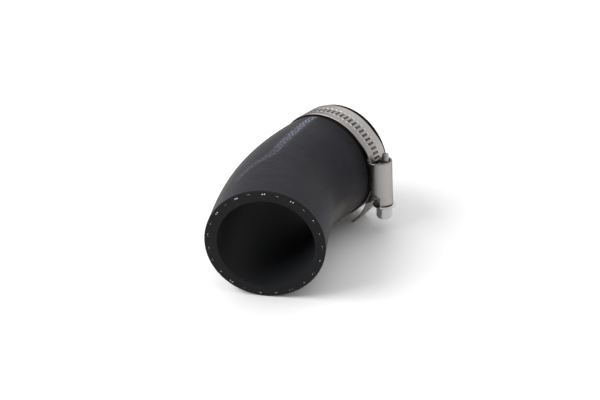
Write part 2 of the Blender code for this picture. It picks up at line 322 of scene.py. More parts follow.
def heading_at(hose, distance):
    """How far the centre line has turned at a distance from the bare end."""
    part = min(max((distance - hose.near_leg) / hose.bend_length, 0.0), 1.0)
    return hose.bend_angle * ((1 - hose.bend_gather) * part + hose.bend_gather * eased(part))


def eased(part):
    """Nought to one with level ends."""
    part = min(max(part, 0.0), 1.0)
    return part * part * (3 - 2 * part)


def clamp_start(hose):
    """Distance along the hose to the strip's near edge."""
    return hose.near_leg + hose.bend_length + hose.before_clamp


def hose_length(hose, clamp):
    """Length of the hose's centre line."""
    return clamp_start(hose) + clamp.width + hose.lip


def centre_line(hose, end):
    """Points of the centre line every tenth of a millimetre."""
    step = 0.0001
    points = [Vector((0.0, 0.0, 0.0))]
    for i in range(math.ceil(end / step)):
        heading = heading_at(hose, (i + 0.5) * step)
        points.append(points[-1] + step * Vector((math.sin(heading), math.cos(heading), 0.0)))

    def at(distance):
        index = min(int(distance / step), len(points) - 2)
        return points[index].lerp(points[index + 1], distance / step - index)

    return at


def hose_frame(hose):
    """Matrix from the hose's own axes, with its bare end at nought and the bend level, to the ground."""
    mount = mounts["bare_cut_end"]
    along = -Vector(mount["axis"])
    up = Vector((1, 0, 0)).cross(along)
    middle = Vector(mount["pos_m"]) - up * (hose.outer_diameter - hose.wall) / 2
    return Matrix.Translation(middle) @ Matrix((Vector((1, 0, 0)), along, up)).transposed().to_4x4()


def strip_inner_radius():
    """Radius inside the clamp's strip."""
    hose = sizes_of("hose_sizes")
    return hose.outer_diameter / 2 - hose.squeeze + sizes_of("clamp_sizes").clearance


def second_layer_outside():
    """Radius outside the strip's second layer."""
    clamp = sizes_of("clamp_sizes")
    return strip_inner_radius() + 2 * clamp.thickness + clamp.layer_gap


def screw_axis_radius():
    """Distance of the screw's axis from the clamp's middle."""
    screw = sizes_of("screw_sizes")
    return second_layer_outside() + screw.clearance + screw.thread_diameter / 2


def screw_frame():
    """Matrix of the screw: its tip along Z, away from the clamp's middle along X."""
    up = Vector(screw_joint["axis"]).normalized()
    along = Vector(mounts["clamped_cut_end"]["axis"])
    along = (along - up * along.dot(up)).normalized()
    turned = Matrix((along.cross(up), along, up)).transposed().to_4x4()
    return Matrix.Translation(Vector(screw_joint["pos_m"])) @ turned


def clamp_frame():
    """Matrix of the clamp: its middle at nought, the housing along X and the hose's far end along Y."""
    offset = sizes_of("screw_sizes").offset
    return screw_frame() @ Matrix.Translation((-screw_axis_radius(), offset, 0))


def add_object(name, data):
    """An object in the scene that shows this mesh, light or camera."""
    item = bpy.data.objects.new(name, data)
    bpy.context.scene.collection.objects.link(item)
    return item


def close(shape, mesh):
    """Turn the faces of a shape outwards and put it in a mesh."""
    bmesh.ops.recalc_face_normals(shape, faces=shape.faces)
    shape.to_mesh(mesh)
    shape.free()


def lattice(name, rows, matrix=None, wrap_rows=False, caps=False, charts=None, slots=None, values=None):
    """A mesh from closed rows of points, placed by a matrix. Charts give each row's place along the
    surface, slots each strip's material and values a number at each point."""
    mesh = bpy.data.meshes.new(name)
    across = len(rows[0])
    points = [matrix @ point if matrix else point for row in rows for point in row]
    faces, places, kinds = [], [], []
    charts = charts or [i / (len(rows) - 1) for i in range(len(rows))]
    strips = len(rows) if wrap_rows else len(rows) - 1
    for j in range(strips):
        k = (j + 1) % len(rows)
        for i in range(across):
            n = (i + 1) % across
            faces.append((j * across + i, j * across + n, k * across + n, k * across + i))
            left, right = i / across, (i + 1) / across
            end = 1.0 - charts[j] if slots and slots[j] == CUT_FACE else charts[k]
            places += [(left, charts[j]), (right, charts[j]), (right, end), (left, end)]
            kinds.append(slots[j] if slots else 0)
    if caps:
        for start in (0, (len(rows) - 1) * across):
            faces.append(tuple(range(start, start + across)))
            places += [(i / across, start / len(points)) for i in range(across)]
            kinds.append(0)
    mesh.from_pydata(points, [], faces)
    surface = mesh.uv_layers.new(name="surface")
    surface.data.foreach_set("uv", [number for place in places for number in place])
    mesh.polygons.foreach_set("material_index", kinds)
    if values:
        # These values are painted dirt and shade for the steel finishes, and below nought a painted
        # highlight.
        dirt_and_shade = mesh.attributes.new("dirt_and_shade", "FLOAT", "POINT")
        dirt_and_shade.data.foreach_set("value", [number for row in values for number in row])
    shape = bmesh.new()
    shape.from_mesh(mesh)
    close(shape, mesh)
    return mesh


def show(name, mesh, finishes, body, node, sharp=35.0):
    """Put a finished mesh in the scene as a piece that rides on a body and stands for a node."""
    mesh.shade_smooth()
    mesh.set_sharp_from_angle(angle=math.radians(sharp))
    piece = add_object(name, mesh)
    for finish in finishes:
        piece.data.materials.append(finish.material)
    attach(piece, body)
    if node:
        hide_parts(node)


def worn_dashes(finish, hose, angle, distance):
    """How much of the surface three rows of small dashes cover, worn away most at the bare end."""
    row_pitch, dash_pitch, stagger = 0.00105, 0.0026, 0.0009
    sweep = math.radians(98.0) + distance.step(0.034, 0.012) * math.radians(26.0)
    sweep = sweep + distance.step(0.048, 0.070) * math.radians(4.0)
    middle = (angle - sweep) * (hose.outer_diameter / 2)
    rows = middle / row_pitch + 0.5
    in_rows = abs(middle).step(0.00175, 0.00155)
    in_row = abs(rows.fraction() - 0.5).step(0.36, 0.24)
    dash = abs(((distance + rows.whole() * stagger) / dash_pitch).fraction() - 0.5).step(0.38, 0.32)
    wear = finish.noise(finish.place(), 900.0, detail=5.0, roughness=0.75)
    rubbed = distance.step(0.012, 0.070)
    ends = distance.step(0.010, 0.016) * distance.step(0.0712, 0.0700)
    kept = (wear + rubbed * 0.06).step(0.45, 0.60)
    worn = in_rows * in_row * dash * kept * (rubbed * 0.60 + 0.40) * ends
    haze = abs(middle).step(0.0036, 0.0010) * ends * wear * (rubbed * 0.22 + 0.05)
    return worn.larger(haze)


def rubber_outside(looks, hose, clamp):
    """Dark moulded rubber with fine wrap lines round it, soft mottling and worn pale dashes, with painted
    shade towards the strip and a painted warm reflection low down and inside the bend.
    """
    finish = Finish("moulded_rubber")
    around, along = finish.surface()
    place = finish.place()
    distance = along * hose_length(hose, clamp)
    angle = around * (2 * math.pi)

    drift = finish.noise(place, 45.0, detail=3.0)
    lines = ((distance + drift * 0.0016) * (2 * math.pi / looks.wrap_pitch)).sine() * 0.5 + 0.5
    ring = finish.vector(angle.cosine() * 0.9, angle.sine() * 0.9, distance * 900.0)
    threads = finish.noise(ring, 1.6, detail=3.0, roughness=0.6)
    patchy = finish.noise(place, 130.0).step(0.35, 0.65)
    grain = finish.noise(place, 2600.0, detail=3.0, roughness=0.65)
    height = lines * (patchy * 0.6 + 0.4) + threads * 0.8 + grain * 0.3

    start = clamp_start(hose)
    # Painted shade: the rubber darkens and grows rougher over the last centimetre before the strip, and is
    # darkest from just before its near edge to the end. This stands in for the strip's shadow and the dark
    # gap under its edge.
    pressed = distance.step(start - 0.0120, start - 0.0012) * 0.45
    pressed = pressed + distance.step(start - 0.0022, start - 0.0012) * 0.55
    mottle = finish.noise(place, 70.0, detail=4.0, roughness=0.6)
    shade = 0.64 + mottle * 0.34 + threads * 0.26 + lines * (patchy * 0.30 + 0.10)
    shade = shade * (1.0 - pressed * 0.85)
    # Painted reflection: the low parts and a patch inside the bend turn towards a warm brown, standing in
    # for light thrown up from the floor.
    low = finish.parts(place)[2].step(0.030, 0.008)
    patch_place, patch_angle = 0.041, math.radians(343.0)
    in_bend = abs(angle - patch_angle).step(math.radians(25.0), 0.0)
    in_bend = abs(distance - patch_place).step(0.018, 0.0) * in_bend
    painted_floor_reflection = (low + in_bend * 1.7) * (drift * 0.8 + 0.3)
    rubber = finish.mix(painted_floor_reflection * 0.80, finish.tint(looks.rubber, shade), looks.painted_floor_reflection)
    scuff = finish.noise(place, 260.0, detail=5.0, roughness=0.75).step(0.62, 0.80)
    rubber = finish.mix(scuff * 0.10, rubber, (0.07, 0.07, 0.075))

    dashes = worn_dashes(finish, hose, angle, distance)
    rough = 0.48 + mottle * 0.10 + threads * 0.12 - lines * 0.07 + dashes * 0.10 + pressed * 0.3
    finish.set(Base_Color=finish.mix(dashes, rubber, looks.print_tint), Roughness=rough,
               Normal=finish.bump(height, looks.wrap_height),
               Specular_IOR_Level=0.13, Sheen_Weight=0.08, Sheen_Roughness=0.30)
    return finish


def rubber_cut(looks):
    """Rubber cut with a blade: faint straight cutting marks and a darker line where the knit lies."""
    finish = Finish("cut_rubber")
    depth = finish.surface()[1]
    place = finish.place()
    x, _, z = finish.parts(place)
    warp = finish.noise(place, 160.0, detail=3.0)
    blade = finish.vector((x * 0.5 + z) * 3200.0 + warp * 0.6, (x - z * 0.5) * 160.0, 0.0)
    marks = finish.noise(blade, 1.0, detail=3.0)
    crumbs = finish.noise(place, 1900.0, detail=4.0, roughness=0.7)
    knit = abs(depth - 0.31).step(0.09, 0.02)
    shade = 0.78 + marks * 0.26 + crumbs * 0.22 - knit * 0.28
    finish.set(Base_Color=finish.tint(looks.cut, shade), Roughness=0.70 + marks * 0.14,
               Normal=finish.bump(marks * 0.6 + crumbs * 0.5 - knit * 0.9, 0.00006),
               Specular_IOR_Level=0.20)
    return finish


def rubber_bore(looks, hose, clamp):
    """Smooth black rubber from the forming mandrel, with faint lines round it."""
    finish = Finish("bore_rubber")
    around, along = finish.surface()
    place = finish.place()
    angle = around * (2 * math.pi)
    distance = along * hose_length(hose, clamp)
    ring = finish.vector(angle.cosine(), angle.sine(), distance * 500.0)
    threads = finish.noise(ring, 1.3)
    cloud = finish.noise(place, 90.0, detail=3.0)
    finish.set(Base_Color=finish.tint(looks.bore, 0.7 + cloud * 0.6), Roughness=0.46 + cloud * 0.14,
               Normal=finish.bump(threads + cloud * 0.4, 0.00003), Specular_IOR_Level=0.08)
    return finish


def yarn_finish(name, yarn):
    """Yarn, soiled here and there by the rubber."""
    finish = Finish(name)
    place = finish.place()
    soil = finish.noise(place, 520.0, detail=3.0).step(0.45, 0.70)
    fibre = finish.noise(place, 9000.0)
    clean = finish.tint(yarn, 0.75 + fibre * 0.45)
    finish.set(Base_Color=finish.mix(soil * 0.85, clean, (0.06, 0.058, 0.05)),
               Roughness=0.75 + fibre * 0.2, Normal=finish.bump(fibre, 0.00003))
    return finish


def rolled_steel(looks):
    """Rolled stainless strip: streaks along it, smudges, grooves darkened with dirt and painted shade,
    painted highlights at their ends, and painted shade on its edges, its near half, the stretch going
    behind the hose and the part under the housing.
    """
    finish = Finish("rolled_stainless")
    across, along = finish.surface()
    place = finish.place()
    dirt_and_shade = finish.painted("dirt_and_shade")
    streaks = finish.noise(finish.vector(across * 260.0, along * 34.0, 0.0), 1.0, detail=5.0, roughness=0.6)
    smudge = finish.noise(place, 210.0, detail=3.0)
    pits = finish.noise(place, 2400.0, detail=3.0).step(0.60, 0.78)
    # Painted shade, partly dirt: the painted values darken the grooves, the edges and the strip under the
    # housing.
    dirt_and_shade_mask = dirt_and_shade.step(0.15, 0.85) * (0.5 + smudge * 0.8)
    # Painted highlight: the burrs at the groove ends are brightened.
    groove_end_glint = (-dirt_and_shade).step(0.03, 0.28)
    # Painted shade: the strip is darker on its near half and along the stretch where it goes round behind
    # the hose.
    behind_hose_shade = along.step(0.376, 0.404) * along.step(0.50, 0.44)
    near_and_far_shade = 1.12 - across.step(0.60, 0.05) * 0.33 - behind_hose_shade * 0.34
    shade = (0.78 + streaks * 0.30 + smudge * 0.12 - pits * 0.10) * near_and_far_shade - dirt_and_shade_mask * 0.74
    shade = shade + groove_end_glint * (0.2 + smudge * 1.5)
    finish.set(Base_Color=finish.tint(looks.strip, shade), Metallic=1.0,
               Roughness=0.20 + streaks * 0.14 + smudge * 0.08 + dirt_and_shade_mask * 0.16,
               Normal=finish.bump(streaks + pits * -0.3, 0.000012), Specular_Tint=(0.52, 0.50, 0.49))
    return finish


def pressed_steel(name, tone):
    """Folded stainless sheet: streaks along the screw, soft marks from pressing, and painted shade on its
    skirts.
    """
    finish = Finish(name)
    place = finish.place()
    x, y, z = finish.parts(place)
    streaks = finish.noise(finish.vector(x * 3000.0, y * 3000.0, z * 130.0), 1.0, detail=4.0, roughness=0.6)
    smudge = finish.noise(place, 240.0, detail=3.0)
    across = finish.surface()[0]
    # Painted shade: the sheet darkens towards both skirts, beside the hose.
    skirts = abs(across - 0.25).step(0.08, 0.21)
    shade = (0.88 + streaks * 0.18 + smudge * 0.16) * (1.0 - skirts * 0.45)
    finish.set(Base_Color=finish.tint(tone, shade), Metallic=1.0,
               Roughness=0.20 + streaks * 0.12 + smudge * 0.10,
               Normal=finish.bump(streaks + smudge * 0.5, 0.000014), Specular_Tint=(0.60, 0.58, 0.57))
    return finish


def plated_steel(looks):
    """Zinc-plated turned steel: fine turning lines, with dirt and painted shade low in the thread and
    painted shade on the top turn and the stub.
    """
    finish = Finish("plated_steel")
    place = finish.place()
    dirt_and_shade = finish.painted("dirt_and_shade")
    x, y, z = finish.parts(place)
    turned = finish.noise(finish.vector(x * 160.0, y * 160.0, z * 5200.0), 1.0, detail=3.0)
    bloom = finish.noise(place, 520.0, detail=4.0, roughness=0.6)
    shade = (0.84 + turned * 0.12 + bloom * 0.18) * (1.0 - dirt_and_shade * 0.60)
    finish.set(Base_Color=finish.tint(looks.zinc, shade), Metallic=1.0,
               Roughness=0.12 + turned * 0.08 + bloom * 0.10 + dirt_and_shade * 0.28,
               Normal=finish.bump(turned * 0.6 + bloom * 0.4, 0.000016))
    return finish


def hose_stations(hose, clamp):
    """Distances along the outside, each with how far the outside is drawn in there."""
    start = clamp_start(hose)
    end = start + clamp.width
    total = end + hose.lip
    bevels = [math.pi / 2 * i / 4 for i in range(5)]
    stations = [(hose.rim_round * (1 - math.cos(bevel)), hose.rim_round * (1 - math.sin(bevel)))
                for bevel in bevels]
    step, margin, run, off, spread = 0.0008, 0.0002, 0.0005, 0.0009, 0.0007
    for i in range(1, math.floor(total / step)):
        distance = i * step
        if hose.rim_round * 1.5 < distance < total - hose.rim_round * 1.5:
            under = eased((distance - start + margin) / run) * eased((end + margin - distance) / run)
            beside = math.exp(-(((distance - start + off) / spread) ** 2))
            beside += math.exp(-(((distance - end - off) / spread) ** 2))
            stations.append((distance, hose.squeeze * under + hose.draw_in * beside * (1 - under)))
    stations += [(total - distance, inset) for distance, inset in reversed(stations[:5])]
    return stations


def hose_ring(hose, at, distance, radius, shift, sides=160):
    """One ring of the hose, pulled in on the inside of the bend near its middle."""
    heading = heading_at(hose, distance)
    inside = Vector((math.cos(heading), -math.sin(heading), 0.0))
    centre = at(distance) + inside * shift
    past_middle = distance - hose.near_leg - hose.bend_length / 2
    pinch = hose.pinch * math.exp(-((past_middle / (hose.bend_length * hose.pinch_spread)) ** 2))
    ring = []
    for i in range(sides):
        angle = 2 * math.pi * i / sides
        reach = radius - pinch * max(math.cos(angle), 0.0) ** 2
        ring.append(centre + inside * (reach * math.cos(angle)) + Vector((0, 0, reach * math.sin(angle))))
    return ring


def make_hose():
    """The elbow, open at both ends, with its moulded outside, cut faces and bore."""
    hose, clamp, looks = sizes_of("hose_sizes", "clamp_sizes", "looks")
    total = hose_length(hose, clamp)
    at = centre_line(hose, total)
    radius = hose.outer_diameter / 2
    bore = radius - hose.wall
    rows, charts, slots = [], [], []

    def ring(distance, reach, shift, chart, slot):
        rows.append(hose_ring(hose, at, distance, reach, shift))
        charts.append(chart)
        slots.append(slot)

    def cut_face(distance, inwards):
        slots[-1] = CUT_FACE
        for inward in inwards:
            reach = radius - hose.rim_round - inward * (hose.wall - hose.rim_round)
            ring(distance, reach, hose.bore_shift * inward, inward, CUT_FACE)

    face_steps, bore_steps = 10, 60
    for distance, inset in hose_stations(hose, clamp):
        ring(distance, radius - inset, 0.0, distance / total, OUTSIDE)
    cut_face(total, [i / face_steps for i in range(1, face_steps)])
    for i in range(bore_steps + 1):
        distance = total * (1 - i / bore_steps)
        ring(distance, bore, hose.bore_shift, distance / total, BORE)
    cut_face(0.0, [1 - i / face_steps for i in range(1, face_steps)])
    mesh = lattice("hose_rubber", rows, hose_frame(hose), wrap_rows=True, charts=charts, slots=slots)
    finishes = [rubber_outside(looks, hose, clamp), rubber_cut(looks), rubber_bore(looks, hose, clamp)]
    show("hose_rubber", mesh, finishes, "hose_and_clamp", "hose")


def strand(shape, foot, tip, radius, finish):
    """One cut strand as a short round rod with a domed end, in one of the piece's finishes."""
    sides = 7
    along = tip - foot
    axis = along.normalized()
    side = axis.orthogonal().normalized()
    other = axis.cross(side)
    turns = [2 * math.pi * i / sides for i in range(sides)]
    rings = []
    for part, reach in ((0.0, 1.0), (0.75, 1.0), (0.93, 0.75), (1.0, 0.35)):
        centre = foot + axis * (along.length * part)
        rings.append([shape.verts.new(centre + (side * math.cos(a) + other * math.sin(a)) * radius * reach)
                      for a in turns])
    faces = [rings[-1], rings[0][::-1]]
    for ring, following in zip(rings, rings[1:]):
        for i in range(sides):
            n = (i + 1) % sides
            faces.append((ring[i], ring[n], following[n], following[i]))
    for face in faces:
        shape.faces.new(face).material_index = finish


def make_tuft(shape, chance, yarn, hub, ways, fullness, lying, strong):
    """One tuft of cut strands round its hub, lying along the cut or standing out of it."""
    radial, tangent, outward = ways
    for _ in range(round((6 if lying else 9) * fullness)):
        reach = yarn.strand * 0.8 * fullness * math.sqrt(chance.random())
        swirl = chance.uniform(0, 2 * math.pi)
        foot = hub + radial * (reach * math.cos(swirl)) + tangent * (reach * math.sin(swirl))
        if lying:
            foot += tangent * chance.uniform(-0.0005, 0.0002)
            lean = tangent * chance.uniform(0.0005, 0.0009) + radial * chance.uniform(-0.00012, 0.00012)
            tip = foot + lean * fullness + outward * chance.uniform(0.00002, 0.00009)
            foot = foot - outward * 0.00012
        else:
            lean = tangent * chance.uniform(-0.00016, 0.00016) + radial * chance.uniform(-0.00016, 0.00016)
            tip = foot + lean + outward * yarn.stand_out * chance.uniform(0.2, 1.0) * fullness
            foot = foot - outward * 0.0003
        soiled = 0 if strong or chance.random() < 0.25 else 1
        strand(shape, foot, tip, yarn.strand / 2 * chance.uniform(0.7, 1.0), soiled)


def make_yarn_ends():
    """Tufts of cut knit in both end faces: pairs of round ends, and strands that lie along the cut."""
    hose, clamp, yarn, looks = sizes_of("hose_sizes", "clamp_sizes", "yarn_sizes", "looks")
    total = hose_length(hose, clamp)
    at = centre_line(hose, total)
    middle = hose.outer_diameter / 2 - yarn.depth
    strong_places, first_angle = (0, 2, 14, 20, 22), math.radians(91.4)
    shape = bmesh.new()
    chance = random.Random(11)
    for end, out in ((0.0, -1), (total, 1)):
        heading = heading_at(hose, end)
        inside = Vector((math.cos(heading), -math.sin(heading), 0.0))
        outward = Vector((math.sin(heading), math.cos(heading), 0.0)) * out
        for k in range(yarn.ends):
            turned = 2 * math.pi * k / yarn.ends
            drift = math.radians(3 - 3 * math.cos(turned) - 4 * math.sin(turned))
            angle = first_angle - turned - drift
            strong = k in strong_places
            fullness = 1.15 if strong else chance.uniform(0.45, 0.80)
            lying = k % 2 == 1
            for side in (0.0,) if lying else (-0.5, 0.5):
                swing = 0.0 if lying else side * chance.uniform(0.036, 0.048)
                around = angle + swing + chance.uniform(-0.008, 0.008)
                radial = inside * math.cos(around) + Vector((0, 0, math.sin(around)))
                hub = at(end) + radial * (middle + chance.uniform(-0.00015, 0.00015))
                ways = (radial, outward.cross(radial), outward)
                make_tuft(shape, chance, yarn, hub, ways, fullness, lying, strong)
    mesh = bpy.data.meshes.new("yarn_ends")
    bmesh.ops.transform(shape, matrix=hose_frame(hose), verts=shape.verts)
    shape.to_mesh(mesh)
    shape.free()
    finishes = [yarn_finish("cut_yarn", looks.yarn), yarn_finish("soiled_yarn", looks.soiled)]
    show("yarn_ends", mesh, finishes, "hose_and_clamp", None)


class StripPath:
    """The strip's middle line, seen along the hose, as a radius for each angle, counted down."""

    def __init__(self):
        clamp, housing = sizes_of("clamp_sizes", "housing_sizes")
        past_housing, hook_length, past_hook, rise_length = 0.0003, 0.0012, 0.0008, 0.0092
        self.clamp = clamp
        self.first = strip_inner_radius() + clamp.thickness / 2
        self.second = self.first + clamp.thickness + clamp.layer_gap
        self.hook = math.asin(housing.above / self.first) + past_housing / self.first
        self.start = self.hook + hook_length / self.first
        self.lap_full = self.start + past_hook / self.first - 2 * math.pi
        self.lap_begin = self.lap_full + rise_length / self.first
        self.leaves = -2 * math.pi - clamp.tail_start
        self.end = -2 * math.pi - clamp.tail_end
        self.neck_end = -math.asin(housing.below / self.first)

    def radius(self, angle):
        """Radius of the middle line at an angle."""
        lap = eased((self.lap_begin - angle) / (self.lap_begin - self.lap_full))
        free = max(self.leaves - angle, 0.0)
        soft_start = 0.03
        flare = self.clamp.tail_flare * free * free / (free + soft_start)
        return self.first + lap * (self.second - self.first) + flare

    def point(self, angle):
        """A point of the middle line."""
        radius = self.radius(angle)
        return Vector((radius * math.cos(angle), 0.0, radius * math.sin(angle)))

    def outward(self, angle):
        """The strip's outward direction."""
        near = 0.002
        along = (self.point(angle - near) - self.point(angle + near)).normalized()
        return Vector((-along.z, 0.0, along.x))


def strip_stations(path, clamp):
    """Angles down the strip, each with the strip's half width there."""
    full, neck = clamp.width / 2, clamp.tongue_width / 2
    neck_run, plain_step, smooth_step, grooved_step = 0.008, 0.03, 0.035, 0.0065
    stations = [(path.start, full - 0.0003), (path.start - 0.004, full), (path.hook + 0.002, full),
                (path.hook, full), (path.hook - neck_run, neck)]
    angle = path.hook - plain_step
    while angle > path.neck_end + 0.02:
        stations.append((angle, neck))
        angle -= plain_step
    stations += [(path.neck_end, neck), (path.neck_end - neck_run, full)]
    angle = path.neck_end - 0.04
    grooved = clamp.grooved_to - 2 * math.pi
    corner, corner_steps = 0.0018, 12
    tail = path.end + corner / path.radius(path.end)
    while angle > tail + 0.006:
        stations.append((angle, full))
        angle -= smooth_step if angle > grooved + 0.04 else grooved_step
    for i in range(corner_steps + 1):
        bevel = math.pi / 2 * i / corner_steps
        angle = path.end + (tail - path.end) * (1 - math.sin(bevel))
        stations.append((angle, full - corner * (1 - math.cos(bevel))))
    return stations


def groove_depth_at(clamp, screw, travel, across, grooved):
    """How deep the grooves are at a place, from nought to one: travel along the strip from its tail, and
    across from its middle. Below nought is the small burr at a groove's ends, which is painted as a
    highlight too."""
    floor_share, flank_share = 0.22, 0.45
    end_margin, end_run = 0.0001, 0.0005
    burr_height, burr_place, burr_spread = 0.45, 0.00035, 0.00022
    first, last = grooved
    place = across + screw.offset
    shifted = travel + place * clamp.groove_slant
    if not first - screw.pitch / 2 < shifted < last:
        return 0.0
    off = (shifted - first + screw.pitch / 2) % screw.pitch - screw.pitch / 2
    flank = clamp.groove_width * flank_share
    profile = eased(1.0 - (abs(off) - clamp.groove_width * floor_share) / flank)
    past = abs(place) - clamp.groove_length / 2
    burr = burr_height * math.exp(-(((past - burr_place) / burr_spread) ** 2))
    return profile * (eased((end_margin - past) / end_run) - burr)


def make_band():
    """The clamp's strip with its pressed grooves, once round the cuff and out as a loose tail."""
    clamp, housing, screw, looks = sizes_of("clamp_sizes", "housing_sizes", "screw_sizes", "looks")
    path = StripPath()
    stations = strip_stations(path, clamp)
    travels = [0.0]
    for (angle, _), (following, _) in zip(reversed(stations[1:]), reversed(stations[:-1])):
        travels.append(travels[-1] + (path.point(following) - path.point(angle)).length)
    travels.reverse()
    grooved = clamp.grooved_to - 2 * math.pi
    last = min(travel for travel, (angle, _) in zip(travels, stations) if angle >= grooved)
    # Painted shade: the strip's rounded edges get this much darkening.
    edge, edge_shade = clamp.thickness / 2, 0.62
    rounding = edge * 0.8
    rows, values = [], []
    for travel, (angle, half) in zip(travels, stations):
        middle, outward = path.point(angle), path.outward(angle)
        second_layer = middle.x > 0 and angle < path.neck_end - 1

        def darkened(across, dirt_and_shade):
            """The painted value, raised by painted shade where the strip lies in and under the housing,
            which reaches lower on the far side.
            """
            reach = 0.0008 + 0.0026 * eased(0.5 + across / clamp.width)
            # Painted shade on the strip's second layer and tail in and under the housing.
            housing_shade = eased((middle.z + housing.below + reach) / 0.0014)
            housing_shade *= eased((housing.above - middle.z) / 0.001)
            return max(dirt_and_shade, housing_shade) if second_layer and housing_shade else dirt_and_shade

        row, dirt_and_shade = [], []
        flat = half - rounding
        for side, columns, bevels in ((1, 76, (45, 90, 135)), (-1, 34, (225, 270, 315))):
            for i in range(columns + 1):
                across = -side * flat * (1 - 2 * i / columns)
                deep = groove_depth_at(clamp, screw, travel, across, (clamp.first_groove, last))
                height = side * edge - clamp.groove_depth * deep
                row.append(middle + outward * height + Vector((0, across, 0)))
                # Dirt and painted shade in the grooves, and a painted highlight at their ends.
                dirt_and_shade.append(darkened(across, deep))
            for bevel in bevels:
                bend = math.radians(bevel)
                across = side * flat + rounding * math.sin(bend)
                row.append(middle + outward * (edge * math.cos(bend)) + Vector((0, across, 0)))
                dirt_and_shade.append(darkened(side * flat, edge_shade))
        rows.append(row)
        values.append(dirt_and_shade)
    charts = [travel / travels[0] for travel in travels]
    mesh = lattice("clamp_strip", rows, clamp_frame(), caps=True, charts=charts, values=values)
    finishes = [rolled_steel(looks)]
    show("clamp_strip", mesh, finishes, "hose_and_clamp", "clamp_band", sharp=60.0)


def arc(centre, radius, start, end, steps):
    """Points of an arc, with angles from the clamp's outward direction towards its far side."""
    turns = [start + (end - start) * i / steps for i in range(steps + 1)]
    x, y = centre
    return [(x + radius * math.cos(angle), y + radius * math.sin(angle)) for angle in turns]


def housing_line(height, depth):
    """The folded sheet's outline at a height along the screw and a depth under its outside."""
    clamp, housing, screw = sizes_of("clamp_sizes", "housing_sizes", "screw_sizes")
    to_head = (housing.above - height) / (housing.above + housing.below)
    radius = screw.thread_diameter / 2 + screw.clearance + housing.sheet + to_head * housing.growth
    bend = housing.shoulder_bend
    side_play, foot_play, roof_steps = 0.00015, 0.0002, 8
    half = clamp.width / 2 + side_play + housing.sheet
    shoulder = second_layer_outside() - housing.shoulder_drop
    up = screw_axis_radius() - shoulder
    slopes = []
    for side in (-1, 1):
        across = half - bend + side * screw.offset
        slopes.append(math.atan2(up, across) + math.asin((radius - bend) / math.hypot(up, across)))
    foot = math.sqrt((strip_inner_radius() + depth / housing.sheet * clamp.thickness) ** 2 - height**2)
    foot_end = clamp.tongue_width / 2 + foot_play
    parts = [
        arc((shoulder, bend - half), bend - depth, -math.pi / 2, -slopes[0], 18),
        arc((screw_axis_radius(), -screw.offset), radius - depth, -slopes[0], slopes[1], 36),
        arc((shoulder, half - bend), bend - depth, slopes[1], math.pi / 2, 18),
    ]
    line = [(foot, -foot_end), (foot, -half + depth), *parts[0]]
    for part, slope in ((parts[1], -slopes[0]), (parts[2], slopes[1])):
        start, end = line[-1], part[0]
        for i in range(1, roof_steps):
            bulge = housing.roof_crown * math.sin(math.pi * i / roof_steps)
            line.append((start[0] + (end[0] - start[0]) * i / roof_steps + bulge * math.cos(slope),
                         start[1] + (end[1] - start[1]) * i / roof_steps + bulge * math.sin(slope)))
        line += part
    return line + [(foot, half - depth), (foot, foot_end)]


